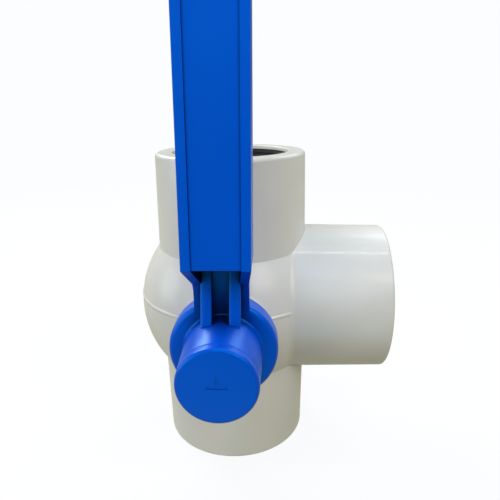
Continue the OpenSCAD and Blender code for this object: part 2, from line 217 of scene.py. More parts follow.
def combine(obj: bpy.types.Object, tool: bpy.types.Object, cut: Cut) -> None:
    """Joins, removes or keeps the space of a tool, and deletes the tool.

    Args:
        obj: The solid that changes.
        tool: The other solid.
        cut: What happens where they meet.
    """
    modifier = obj.modifiers.new(cut.name.lower(), "BOOLEAN")
    modifier.object = tool
    modifier.operation = cut.value
    modifier.solver = "EXACT"
    graph = bpy.context.evaluated_depsgraph_get()
    mesh = bpy.data.meshes.new_from_object(obj.evaluated_get(graph))
    obj.modifiers.clear()
    old = obj.data
    obj.data = mesh
    bpy.data.meshes.remove(old)
    bpy.data.objects.remove(tool)


def polish(obj: bpy.types.Object, crease: float = 32.0) -> bpy.types.Object:
    """Cleans a finished solid and shades it smooth, with its true corners kept sharp.

    Args:
        obj: The finished solid.
        crease: Edges that turn more than this many degrees stay sharp.

    Returns:
        The same object.
    """
    bm = bmesh.new()
    bm.from_mesh(obj.data)
    bmesh.ops.remove_doubles(bm, verts=bm.verts[:], dist=2e-7)
    bmesh.ops.dissolve_degenerate(bm, edges=bm.edges[:], dist=1e-7)
    for f in bm.faces:
        f.smooth = True
    for e in bm.edges:
        e.smooth = len(e.link_faces) == 2 and e.calc_face_angle() < math.radians(crease)
    bm.to_mesh(obj.data)
    bm.free()
    return obj


# ---------------------------------------------------------------- finishes


def feed(tree: bpy.types.NodeTree, slot: bpy.types.NodeSocket, value: object) -> None:
    """Links a value into a node's input, or sets the input to it.

    Args:
        tree: The node tree.
        slot: The input.
        value: A socket, a number or a colour.
    """
    if isinstance(value, bpy.types.NodeSocket):
        tree.links.new(value, slot)
    else:
        slot.default_value = value


def start_material(name: str) -> tuple[bpy.types.Material, bpy.types.Node, bpy.types.NodeSocket]:
    """Starts a node material.

    Args:
        name: The material's name.

    Returns:
        The material, its Principled shader and its Object coordinates.
    """
    mat = bpy.data.materials.new(name)
    mat.use_nodes = True
    nodes = mat.node_tree.nodes
    return mat, nodes["Principled BSDF"], nodes.new("ShaderNodeTexCoord").outputs["Object"]


def add_relief(tree: bpy.types.NodeTree, height: bpy.types.NodeSocket, strength: float, depth: float) -> None:
    """Gives a material's shader a fine relief.

    Args:
        tree: The material's node tree.
        height: The relief's height.
        strength: How strongly it shows.
        depth: Its full depth, in metres.
    """
    bump = tree.nodes.new("ShaderNodeBump")
    bump.inputs["Strength"].default_value = strength
    bump.inputs["Distance"].default_value = depth
    tree.links.new(height, bump.inputs["Height"])
    tree.links.new(bump.outputs["Normal"], tree.nodes["Principled BSDF"].inputs["Normal"])


def new_group(name: str, inputs: dict[str, tuple[str, object]],
              outputs: dict[str, str]) -> bpy.types.NodeTree:
    """Starts a shader node group with named sockets.

    Args:
        name: The group's name.
        inputs: Socket name to its type and starting value.
        outputs: Socket name to its type.

    Returns:
        The group, with its input and output nodes in place.
    """
    group = bpy.data.node_groups.new(name, "ShaderNodeTree")
    for label, (kind, value) in inputs.items():
        socket = group.interface.new_socket(label, in_out="INPUT", socket_type=kind)
        if value is not None:
            socket.default_value = value
    for label, kind in outputs.items():
        group.interface.new_socket(label, in_out="OUTPUT", socket_type=kind)
    group.nodes.new("NodeGroupInput").name = "in"
    group.nodes.new("NodeGroupOutput").name = "out"
    return group


def math_node(tree: bpy.types.NodeTree, operation: str, a: object, b: object) -> bpy.types.NodeSocket:
    """Adds a Math node.

    Args:
        tree: The node tree.
        operation: Its operation.
        a: A socket or a number.
        b: A socket or a number.

    Returns:
        Its result.
    """
    node = tree.nodes.new("ShaderNodeMath")
    node.operation = operation
    for slot, value in zip(node.inputs, (a, b)):
        feed(tree, slot, value)
    return node.outputs[0]


def noise(tree: bpy.types.NodeTree, vector: bpy.types.NodeSocket, scale: object,
          detail: float, rough: float) -> bpy.types.NodeSocket:
    """Adds a Noise Texture node.

    Args:
        tree: The node tree.
        vector: Where it is read.
        scale: A socket or a number.
        detail: Its detail.
        rough: Its roughness.

    Returns:
        Its value.
    """
    node = tree.nodes.new("ShaderNodeTexNoise")
    tree.links.new(vector, node.inputs["Vector"])
    node.inputs["Detail"].default_value = detail
    node.inputs["Roughness"].default_value = rough
    feed(tree, node.inputs["Scale"], scale)
    return node.outputs["Fac"]


def spread(tree: bpy.types.NodeTree, value: bpy.types.NodeSocket, low: float, high: float,
           to_low: object = 0.0, to_high: object = 1.0) -> bpy.types.NodeSocket:
    """Adds a clamped Map Range node.

    Args:
        tree: The node tree.
        value: The value to map.
        low: What maps to to_low.
        high: What maps to to_high.
        to_low: A socket or a number.
        to_high: A socket or a number.

    Returns:
        The mapped value.
    """
    node = tree.nodes.new("ShaderNodeMapRange")
    tree.links.new(value, node.inputs["Value"])
    node.inputs["From Min"].default_value = low
    node.inputs["From Max"].default_value = high
    feed(tree, node.inputs["To Min"], to_low)
    feed(tree, node.inputs["To Max"], to_high)
    return node.outputs["Result"]


def blend_colours(tree: bpy.types.NodeTree, amount: bpy.types.NodeSocket, a: object,
                  b: object) -> bpy.types.NodeSocket:
    """Adds a colour Mix node.

    Args:
        tree: The node tree.
        amount: How much of b shows.
        a: A colour socket or a colour.
        b: A colour socket or a colour.

    Returns:
        The mixed colour.
    """
    node = tree.nodes.new("ShaderNodeMix")
    node.data_type = "RGBA"
    tree.links.new(amount, node.inputs["Factor"])
    for label, value in (("A", a), ("B", b)):
        slot = next(s for s in node.inputs if s.name == label and s.type == "RGBA")
        feed(tree, slot, (*value, 1.0) if isinstance(value, tuple) else value)
    return next(s for s in node.outputs if s.type == "RGBA")


class Effects:
    """The shader node groups that the finishes share. Each is built once."""

    _built: dict[str, bpy.types.NodeTree] = {}

    @classmethod
    def get(cls, name: str) -> bpy.types.NodeTree:
        """Finds a group, and builds it when it is first asked for.

        Args:
            name: The group's name.

        Returns:
            The group.
        """
        if name not in cls._built:
            cls._built[name] = getattr(cls, f"_{name}")()
        return cls._built[name]

    @staticmethod
    def _moulded_flow() -> bpy.types.NodeTree:
        """Slow cloudiness of the plastic and the orange peel of its skin.

        Returns:
            The node group.
        """
        g = new_group("moulded_flow", {"Vector": ("NodeSocketVector", None),
                                       "Cloud Scale": ("NodeSocketFloat", 60.0),
                                       "Peel Scale": ("NodeSocketFloat", 900.0)},
                      {"Cloud": "NodeSocketFloat", "Speckle": "NodeSocketFloat", "Peel": "NodeSocketFloat"})
        inp, out = g.nodes["in"].outputs, g.nodes["out"].inputs
        cloud = noise(g, inp["Vector"], inp["Cloud Scale"], 3.0, 0.55)
        fleck = noise(g, inp["Vector"], 5200.0, 2.0, 0.6)
        peel = noise(g, inp["Vector"], inp["Peel Scale"], 2.0, 0.45)
        g.links.new(spread(g, cloud, 0.3, 0.7), out["Cloud"])
        g.links.new(spread(g, fleck, 0.66, 0.78), out["Speckle"])
        g.links.new(peel, out["Peel"])
        return g

    @staticmethod
    def _handling_marks() -> bpy.types.NodeTree:
        """Hairline scratches in two directions, and rubbed patches.

        Returns:
            The node group.
        """
        g = new_group("handling_marks", {"Vector": ("NodeSocketVector", None),
                                         "Amount": ("NodeSocketFloat", 0.5)},
                      {"Scratch": "NodeSocketFloat", "Rub": "NodeSocketFloat"})
        inp, out = g.nodes["in"].outputs, g.nodes["out"].inputs
        lines = []
        for turn, stretch in ((25.0, (2600.0, 60.0, 2600.0)), (-50.0, (60.0, 2300.0, 1900.0))):
            mapping = g.nodes.new("ShaderNodeMapping")
            mapping.inputs["Rotation"].default_value = (0.0, math.radians(turn), math.radians(turn))
            mapping.inputs["Scale"].default_value = stretch
            g.links.new(inp["Vector"], mapping.inputs["Vector"])
            lines.append(spread(g, noise(g, mapping.outputs[0], 1.0, 1.0, 0.5), 0.70, 0.76))
        rub = spread(g, noise(g, inp["Vector"], 95.0, 4.0, 0.6), 0.50, 0.68)
        scratch = math_node(g, "MULTIPLY", math_node(g, "MAXIMUM", *lines), rub)
        g.links.new(math_node(g, "MULTIPLY", scratch, inp["Amount"]), out["Scratch"])
        g.links.new(math_node(g, "MULTIPLY", rub, inp["Amount"]), out["Rub"])
        return g

    @staticmethod
    def _edge_rub() -> bpy.types.NodeTree:
        """A broken mask along outer edges, where handling polishes or pales the skin.

        Returns:
            The node group.
        """
        g = new_group("edge_rub", {"Vector": ("NodeSocketVector", None)}, {"Mask": "NodeSocketFloat"})
        inp, out = g.nodes["in"].outputs, g.nodes["out"].inputs
        edge = g.nodes.new("ShaderNodeNewGeometry").outputs["Pointiness"]
        raised = spread(g, edge, 0.56, 0.68)
        broken = spread(g, noise(g, inp["Vector"], 420.0, 3.0, 0.6), 0.38, 0.62)
        g.links.new(math_node(g, "MULTIPLY", raised, broken), out["Mask"])
        return g

    @staticmethod
    def _painted_hollow_shade() -> bpy.types.NodeTree:
        """Painted shade for hollows, from ambient occlusion: 0 in the open and 1 in a deep corner.

        Returns:
            The node group.
        """
        g = new_group("painted_hollow_shade", {"Vector": ("NodeSocketVector", None),
                                       "Reach": ("NodeSocketFloat", 0.020)}, {"Mask": "NodeSocketFloat"})
        inp, out = g.nodes["in"].outputs, g.nodes["out"].inputs
        near = g.nodes.new("ShaderNodeAmbientOcclusion")
        near.samples = 8
        near.only_local = True
        g.links.new(inp["Reach"], near.inputs["Distance"])
        uneven = noise(g, inp["Vector"], 260.0, 2.0, 0.5)
        open_sky = math_node(g, "ADD", near.outputs["AO"], math_node(g, "MULTIPLY", uneven, 0.04))
        g.links.new(spread(g, open_sky, 0.76, 0.46), out["Mask"])
        return g


@dataclass(frozen=True)
class Plastic:
    """A moulded plastic finish.

    The colour drifts between two close tones, darkens a little into flow clouds, and carries fine
    flecks. The skin has orange peel, hairline scratches and edges that handling has paled. Where a
    hollow tone is given, the colour also darkens in hollows and corners as painted shade.
    """

    name: str
    tone: Colour
    cloud_tone: Colour
    edge_tone: Colour
    roughness: float
    gloss: float
    peel: float
    marks: float
    coat: float = 0.0
    cloud_scale: float = 60.0
    fleck_tone: Colour = (0.2, 0.2, 0.2)
    flecks: float = 0.04
    translucence: float = 0.0
    sheen_tint: Colour = (1.0, 1.0, 1.0)
    # The tone of painted shade in hollows and corners; None leaves the painted shade out.
    hollow_shade_tone: Colour | None = None

    def material(self) -> bpy.types.Material:
        """Builds the material.

        Returns:
            The new material.
        """
        mat, shader, where = start_material(self.name)
        tree = mat.node_tree
        flow = self._place(tree, "moulded_flow", where)
        flow.inputs["Cloud Scale"].default_value = self.cloud_scale
        marks = self._place(tree, "handling_marks", where)
        marks.inputs["Amount"].default_value = self.marks
        rub = self._place(tree, "edge_rub", where)
        colour = blend_colours(tree, flow.outputs["Cloud"], self.tone, self.cloud_tone)
        fleck = math_node(tree, "MULTIPLY", flow.outputs["Speckle"], self.flecks)
        colour = blend_colours(tree, fleck, colour, self.fleck_tone)
        edge = math_node(tree, "MULTIPLY", rub.outputs["Mask"], 0.3)
        colour = blend_colours(tree, edge, colour, self.edge_tone)
        worn = math_node(tree, "MULTIPLY", marks.outputs["Scratch"], 0.35)
        colour = blend_colours(tree, worn, colour, self.edge_tone)
        # Painted shade: in hollows and corners the colour darkens towards the hollow tone, by ambient
        # occlusion.
        if self.hollow_shade_tone is not None:
            hollow = self._place(tree, "painted_hollow_shade", where)
            colour = blend_colours(tree, hollow.outputs["Mask"], colour, self.hollow_shade_tone)
        tree.links.new(colour, shader.inputs["Base Color"])
        rough = math_node(tree, "MULTIPLY", flow.outputs["Cloud"], 0.05)
        rough = math_node(tree, "ADD", rough, self.roughness)
        for label, share in (("Rub", 0.10), ("Scratch", 0.18)):
            rough = math_node(tree, "ADD", rough, math_node(tree, "MULTIPLY", marks.outputs[label], share))
        tree.links.new(rough, shader.inputs["Roughness"])
        height = math_node(tree, "MULTIPLY", flow.outputs["Peel"], self.peel)
        height = math_node(tree, "SUBTRACT", height, worn)
        add_relief(tree, height, 0.35, 0.06 * MM)
        shader.inputs["IOR"].default_value = self.gloss
        shader.inputs["Specular Tint"].default_value = (*self.sheen_tint, 1.0)
        shader.inputs["Coat Weight"].default_value = self.coat
        shader.inputs["Coat Roughness"].default_value = 0.08
        shader.inputs["Subsurface Weight"].default_value = self.translucence
        shader.inputs["Subsurface Radius"].default_value = (1.2 * MM, 1.0 * MM, 0.8 * MM)
        return mat

    @staticmethod
    def _place(tree: bpy.types.NodeTree, effect: str, where: bpy.types.NodeSocket) -> bpy.types.Node:
        """Places a shared effect in the material and feeds it the coordinates.

        Args:
            tree: The material's node tree.
            effect: The effect's name.
            where: The coordinates.

        Returns:
            The group's node.
        """
        node = tree.nodes.new("ShaderNodeGroup")
        node.node_tree = Effects.get(effect)
        tree.links.new(where, node.inputs["Vector"])
        return node


@dataclass(frozen=True)
class Steel:
    """Plated steel with turning lines and a few dull spots."""

    name: str = "plated_steel"
    tone: Colour = (0.62, 0.62, 0.63)
    dull_tone: Colour = (0.42, 0.41, 0.40)

    def material(self) -> bpy.types.Material:
        """Builds the material.

        Returns:
            The new material.
        """
        mat, shader, where = start_material(self.name)
        tree = mat.node_tree
        spots = spread(tree, noise(tree, where, 800.0, 3.0, 0.6), 0.55, 0.7)
        tree.links.new(blend_colours(tree, spots, self.tone, self.dull_tone), shader.inputs["Base Color"])
        lines = noise(tree, where, 4200.0, 2.0, 0.5)
        tree.links.new(spread(tree, lines, 0.3, 0.7, 0.22, 0.42), shader.inputs["Roughness"])
        add_relief(tree, lines, 0.2, 0.02 * MM)
        shader.inputs["Metallic"].default_value = 1.0
        return mat


WHITE_PIPE_PLASTIC = Plastic(
    "white_pipe_plastic", tone=(0.72, 0.73, 0.72), cloud_tone=(0.66, 0.665, 0.64),
    edge_tone=(0.80, 0.80, 0.80), roughness=0.34, gloss=1.45, peel=0.35, marks=0.12, coat=0.2,
    cloud_scale=38.0, fleck_tone=(0.45, 0.42, 0.36), flecks=0.03, translucence=0.04)
BALL_PLASTIC = Plastic(
    "ball_plastic", tone=(0.70, 0.71, 0.72), cloud_tone=(0.65, 0.66, 0.67),
    edge_tone=(0.78, 0.78, 0.78), roughness=0.14, gloss=1.5, peel=0.15, marks=0.35)
SEAT_PLASTIC = Plastic(
    "seat_plastic", tone=(0.78, 0.78, 0.74), cloud_tone=(0.72, 0.72, 0.67),
    edge_tone=(0.82, 0.82, 0.80), roughness=0.38, gloss=1.36, peel=0.3, marks=0.3, translucence=0.1)
STEM_PLASTIC = Plastic(
    "stem_plastic", tone=(0.66, 0.66, 0.64), cloud_tone=(0.60, 0.60, 0.57),
    edge_tone=(0.74, 0.74, 0.73), roughness=0.30, gloss=1.5, peel=0.4, marks=0.4)
# The lever's hollow tone is painted shade: a deep navy that darkens its neck recesses and other hollows.
LEVER_PLASTIC = Plastic(
    "blue_lever_plastic", tone=(0.0003, 0.078, 0.66), cloud_tone=(0.0002, 0.069, 0.60),
    edge_tone=(0.004, 0.14, 0.75), roughness=0.30, gloss=1.85, peel=0.4, marks=0.2,
    cloud_scale=34.0, fleck_tone=(0.001, 0.03, 0.22), flecks=0.06,
    sheen_tint=(0.015, 0.40, 1.0), hollow_shade_tone=(0.0, 0.001, 0.05))
SEAL_RUBBER = Plastic(
    "seal_rubber", tone=(0.010, 0.011, 0.014), cloud_tone=(0.017, 0.018, 0.021),
    edge_tone=(0.035, 0.035, 0.04), roughness=0.48, gloss=1.5, peel=0.8, marks=0.4,
    cloud_scale=140.0, fleck_tone=(0.05, 0.05, 0.05), flecks=0.15)


class Paints:
    """Each finish's material, built once and shared by the pieces that have it."""

    def __init__(self) -> None:
        """Starts with nothing built."""
        self._made: dict[str, bpy.types.Material] = {}

    def dress(self, obj: bpy.types.Object, finish: Plastic | Steel) -> None:
        """Gives an object one finish all over.

        Args:
            obj: The object.
            finish: The finish.
        """
        if finish.name not in self._made:
            self._made[finish.name] = finish.material()
        obj.data.materials.clear()
        obj.data.materials.append(self._made[finish.name])


# ---------------------------------------------------------------- the valve


@dataclass
class Layout:
    """Places and sizes that several pieces share, in millimetres, most of them read from the frame."""

    centre: Vector = field(init=False)
    bore_r: float = field(init=False)
    run_half: float = field(init=False)
    run_stop: float = field(init=False)
    side_half: float = field(init=False)
    side_stop: float = field(init=False)
    root_r: float = field(init=False)
    mouth_r: float = field(init=False)
    ball_r: float = field(init=False)
    mouth_wall: float = 4.7
    body_r: float = 27.0
    port_r: float = 11.0
    pocket_r: float = 14.25
    pocket_depth: float = 19.0

    def __post_init__(self) -> None:
        """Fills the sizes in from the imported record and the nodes' boxes."""
        mounts = {m["name"]: m for m in frame["record"]["mounts"]}
        top = mounts["top_socket"]
        _, socket_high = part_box("top_connector")
        ball_low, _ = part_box("ball")
        _, body_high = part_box("valve_body")
        centre_z = (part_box("bottom_connector")[0].z + socket_high.z) / 2
        self.centre = Vector((0.0, 0.0, centre_z))
        self.bore_r = top["dims"]["r_mm"]
        self.run_half = (socket_high.z - centre_z) / MM
        self.run_stop = self.run_half - top["dims"]["length_mm"]
        self.side_half = body_high.x / MM
        self.side_stop = self.side_half - mounts["side_socket"]["dims"]["length_mm"]
        self.ball_r = (centre_z - ball_low.z) / MM
        self.root_r = socket_high.x / MM
        self.mouth_r = self.bore_r + self.mouth_wall

    @property
    def land_half(self) -> float:
        """Height of the lands where the sphere is as wide as a socket's root."""
        return math.sqrt(self.body_r**2 - self.root_r**2)


LAYOUT = Layout()


@dataclass
class Assembly:
    """What every sub-assembly knows: where things are and how they are painted."""

    layout: Layout
    paints: Paints

    def add(self, obj: bpy.types.Object, body: str, nodes: Iterable[str], slot: str,
            finish: Plastic | Steel) -> bpy.types.Object:
        """Finishes a new piece: its shading, paint, body and the nodes that it stands for.

        Args:
            obj: The new piece.
            body: The body that it moves with.
            nodes: The frame's nodes that it replaces.
            slot: Its material slot in the record; not used.
            finish: Its finish.

        Returns:
            The piece.
        """
        polish(obj)
        self.paints.dress(obj, finish)
        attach(obj, body)
        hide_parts(*nodes)
        LOG.info("built %s for %s, %d faces", obj.name, ", ".join(nodes), len(obj.data.polygons))
        return obj

    def put(self, name: str, bm: bmesh.types.BMesh, facing: Facing) -> bpy.types.Object:
        """Places a solid about the ball's centre.

        Args:
            name: The object's name.
            bm: The solid, in millimetres about its own axis.
            facing: Where its axis points.

        Returns:
            The object.
        """
        return solid(name, bm, facing, self.layout.centre)


@dataclass
class Sockets(Assembly):
    """The valve's white casing: the body with its side branch, and the two in-line sockets."""

    lip: float = 1.0
    inner_lip: float = 0.35
    groove_inset: float = 1.0
    groove_h: float = 5.0
    groove_r: float = 18.0
    fillet_r: float = 4.0
    chamber_r: float = 19.4
    bore_start: float = 8.0
    spigot_r: float = 19.35
    spigot_len: float = 4.0
    carrier_bore_r: float = 15.6
    carrier_back: float = 16.2
    carrier_relief: float = 0.6
    neck_start: float = 15.0
    neck_ease: float = 0.4
    neck_r: float = 9.6
    neck_end: float = 32.6
    stem_bore_start: float = 5.0
    stem_bore_r: float = 6.08
    flange_bore_r: float = 8.4
    flange_bore_end: float = 22.1
    stop_outer_r: float = 11.2
    stop_end: float = 32.3
    stop_angle: float = 118.0
    ridge_z: float = 3.0
    ridge_w: float = 1.6
    ridge_proud: float = 0.22
    ridge_sunk: float = 0.25
    ridge_root: float = 1.5

    def build(self) -> None:
        """Builds the three white castings."""
        self._body()
        for name, facing in (("top", Facing.TOP), ("bottom", Facing.BOTTOM)):
            self._socket(name, facing)

    def _mouth(self, end: float) -> Profile:
        """The outside of a mouth: its rounded outer lip, then its eased inner edge.

        Args:
            end: Where the mouth ends along its axis.

        Returns:
            The outline from outside to inside.
        """
        outer = arc((self.layout.mouth_r - self.lip, end - self.lip), self.lip, 0, 90)
        inner = arc((self.layout.bore_r + self.inner_lip, end - self.inner_lip), self.inner_lip, 90, 180, 4)
        return outer + inner

    def _groove(self, end: float) -> Profile:
        """The ring's groove in a socket's bore.

        Args:
            end: Where the mouth ends along its axis.

        Returns:
            The outline from the mouth inwards.
        """
        top, low = end - self.groove_inset, end - self.groove_inset - self.groove_h
        bore = self.layout.bore_r
        return [(bore, top), (self.groove_r, top), (self.groove_r, low), (bore, low)]

    def _branch(self) -> bmesh.types.BMesh:
        """The sphere and the side branch as one turned solid about the branch's axis.

        Returns:
            The solid.
        """
        lay = self.layout
        centre_r = lay.root_r + self.fillet_r
        centre_d = math.sqrt((lay.body_r + self.fillet_r) ** 2 - centre_r**2)
        touch = math.degrees(math.atan2(centre_r, centre_d))
        sphere = [(0.0, -lay.body_r)] + arc((0, 0), lay.body_r, -90, 90 - touch, 72)[1:]
        fillet = arc((centre_r, centre_d), self.fillet_r, 270 - touch, 180, 12)[1:]
        mouth = arc((lay.mouth_r - self.lip, lay.side_half - self.lip), self.lip, 0, 90)
        return spin(sphere + fillet + mouth + [(0.0, lay.side_half)], steps=160)

    def _side_bore(self) -> bmesh.types.BMesh:
        """The space inside the side branch, from the chamber out past the mouth.

        Returns:
            The space, as a solid about the branch's axis.
        """
        lay = self.layout
        end = lay.side_half
        inner = arc((lay.bore_r + self.inner_lip, end - self.inner_lip), self.inner_lip, 180, 90, 4)
        return spin(
            [(0, self.bore_start), (lay.pocket_r, self.bore_start), (lay.pocket_r, self.carrier_back),
             (self.carrier_bore_r, self.carrier_back), (self.carrier_bore_r, lay.side_stop),
             (lay.bore_r, lay.side_stop)] + self._groove(end)[::-1] + inner
            + [(lay.bore_r + self.inner_lip, end + 1), (0, end + 1)], steps=128)

    def _ridge(self) -> bmesh.types.BMesh:
        """The parting ridge round the sphere, with an eased crest.

        Returns:
            The ridge, as a ring that reaches into the sphere.
        """
        foot = math.sqrt(self.layout.body_r**2 - self.ridge_z**2)
        half, crest = self.ridge_w / 2, foot + self.ridge_proud
        swell = [(crest - (self.ridge_proud + self.ridge_sunk) * t**2, self.ridge_z + half * t)
                 for t in (i / 6 - 1 for i in range(13))]
        root = foot - self.ridge_root
        return spin([(root, self.ridge_z - half)] + swell + [(root, self.ridge_z + half)],
                    closed=True, steps=160)

    def _stop(self) -> bmesh.types.BMesh:
        """The raised sector on the neck that the lever's lug runs against.

        Returns:
            The sector.
        """
        first, last = -self.stop_angle / 2, self.stop_angle / 2
        rim = arc((0, 0), self.stop_outer_r, first, last, 40)
        back = arc((0, 0), self.neck_r - 1, last, first, 40)
        return prism(rim + back, self.layout.body_r - 5, self.stop_end)

    def _body(self) -> None:
        """The body: joined from its turned shapes, then bored."""
        lay = self.layout
        body = self.put("body_shell", self._branch(), Facing.SIDE)
        reach = 2 * lay.body_r
        for facing in (Facing.TOP, Facing.BOTTOM):
            land = spin(rectangle(0, lay.land_half, lay.root_r, reach), steps=160)
            combine(body, self.put("land", land, facing), Cut.REMOVE)
        rim = arc((self.neck_r - self.neck_ease, self.neck_end - self.neck_ease), self.neck_ease, 0, 90, 4)
        foot = [(0, self.neck_start), (self.neck_r, self.neck_start)]
        neck = spin(foot + rim + [(0, self.neck_end)], steps=96)
        for part, facing in ((self._ridge(), Facing.TOP), (neck, Facing.STEM),
                             (self._stop(), Facing.STEM)):
            combine(body, self.put("part", part, facing), Cut.JOIN)
        chamber = spin(rectangle(0, -reach, self.chamber_r, reach), steps=128)
        start, past = self.stem_bore_start, self.neck_end + 1
        stem = spin([(0, start), (self.flange_bore_r, start), (self.flange_bore_r, self.flange_bore_end),
                     (self.stem_bore_r, self.flange_bore_end), (self.stem_bore_r, past), (0, past)], steps=64)
        for tool, facing in ((chamber, Facing.TOP), (self._side_bore(), Facing.SIDE),
                             (stem, Facing.STEM)):
            combine(body, self.put("tool", tool, facing), Cut.REMOVE)
        self.add(body, "valve_body", ["valve_body"], "body_plastic", WHITE_PIPE_PLASTIC)

    def _socket(self, name: str, facing: Facing) -> None:
        """One in-line socket with its spigot, relieved where the side seat passes.

        Args:
            name: Which socket it is, top or bottom.
            facing: Where it points.
        """
        lay = self.layout
        end, land = lay.run_half, lay.land_half
        low = land - self.spigot_len
        low_r = math.sqrt(self.chamber_r**2 - low**2)
        pocket_low = math.sqrt(self.chamber_r**2 - lay.pocket_r**2)
        profile = ([(lay.root_r, land)] + self._mouth(end) + self._groove(end)
                   + [(lay.bore_r, lay.run_stop), (lay.port_r, lay.run_stop), (lay.port_r, lay.pocket_depth),
                      (lay.pocket_r, lay.pocket_depth), (lay.pocket_r, pocket_low), (low_r, low),
                      (self.spigot_r, low), (self.spigot_r, land)])
        socket = self.put(f"{name}_socket", spin(profile, closed=True, steps=160), facing)
        relief = spin(rectangle(0, 0, self.carrier_bore_r + self.carrier_relief, lay.body_r), steps=96)
        combine(socket, self.put("relief", relief, Facing.SIDE), Cut.REMOVE)
        self.add(socket, "valve_body", [f"{name}_connector"], "body_plastic", WHITE_PIPE_PLASTIC)


@dataclass
class Seals(Assembly):
    """The rubber rings in the mouths, and the carrier that holds the side seat."""

    ring_in: float = 16.15
    ring_out: float = 17.95
    ring_top: float = 1.05
    ring_low: float = 5.95
    lips: int = 3
    lip_depth: float = 0.35
    carrier_r: float = 15.55
    carrier_back: float = 16.25
    ring_ease: float = 0.3
    ease: float = 0.4

    def build(self) -> None:
        """Builds the three mouth rings and the carrier."""
        lay = self.layout
        for name, facing, end in (("top", Facing.TOP, lay.run_half),
                                  ("bottom", Facing.BOTTOM, lay.run_half),
                                  ("side", Facing.SIDE, lay.side_half)):
            ring = self.put(f"{name}_seal_ring", self._ring(end), facing)
            self.add(ring, "valve_body", [f"{name}_mouth_ring"], "seal_rubber", SEAL_RUBBER)
        self._carrier()

    def _ring(self, end: float) -> bmesh.types.BMesh:
        """A ring whose inner face has soft lips for the pipe.

        Args:
            end: Where its mouth ends along the axis.

        Returns:
            The ring.
        """
        top, low = end - self.ring_top, end - self.ring_low
        steps = 8 * self.lips
        inner: Profile = []
        for i in range(steps + 1):
            wave = (1 - math.cos(math.tau * self.lips * i / steps)) / 2
            inner.append((self.ring_in + self.lip_depth * (1 - wave), top + (low - top) * i / steps))
        out, ease = self.ring_out, self.ring_ease
        return spin(inner + [(out - ease, low), (out, low + ease), (out, top - ease), (out - ease, top)],
                    closed=True, steps=128)

    def _carrier(self) -> None:
        """The turned ring behind the side seat, with eased front edges."""
        lay, front = self.layout, self.layout.side_stop
        bore = arc((lay.port_r + self.ease, front - self.ease), self.ease, 180, 90, 4)
        rim = arc((self.carrier_r - self.ease, front - self.ease), self.ease, 90, 0, 4)
        profile = bore + rim + [(self.carrier_r, self.carrier_back), (lay.pocket_r, self.carrier_back),
                                (lay.pocket_r, lay.pocket_depth), (lay.port_r, lay.pocket_depth)]
        ring = self.put("side_carrier_ring", spin(profile, closed=True, steps=128), Facing.SIDE)
        self.add(ring, "valve_body", ["side_seat_carrier"], "body_plastic", WHITE_PIPE_PLASTIC)


@dataclass
class Ball(Assembly):
    """The tee-ported ball, with eased port edges and the stem's slot."""

    ease: float = 0.9
    flare_out: float = 2.0
    flare_rise: float = 0.6
    slot_t: float = 5.9
    slot_floor: float = 15.2

    def build(self) -> None:
        """Builds the ball."""
        r, port = self.layout.ball_r, self.layout.port_r
        turned = [(0.0, -r)] + arc((0, 0), r, -90, 90, 64)[1:-1] + [(0.0, r)]
        ball = self.put("tee_ball", spin(turned, steps=128), Facing.TOP)
        edge = math.sqrt(r**2 - port**2)
        flare = arc((port + self.ease, edge - self.ease), self.ease, 180, 100, 5)
        wide = port + self.flare_out
        mouth = [(port, edge - self.ease)] + flare[1:] + [(wide, edge + self.flare_rise), (wide, r + 1)]
        single = spin([(0, 0), (port, 0)] + mouth + [(0, r + 1)], steps=128)
        through = spin([(0, -r - 1)] + [(p[0], -p[1]) for p in mouth[::-1]] + mouth + [(0, r + 1)], steps=128)
        for tool, facing in ((through, Facing.SIDE), (single, Facing.TOP)):
            combine(ball, self.put("port", tool, facing), Cut.REMOVE)
        half = self.slot_t / 2
        slot = prism(rectangle(-half, -r - 1, half, r + 1), self.slot_floor, r + 1)
        combine(ball, self.put("slot", slot, Facing.STEM), Cut.REMOVE)
        self.add(ball, "ball", ["ball"], "ball_plastic", BALL_PLASTIC)


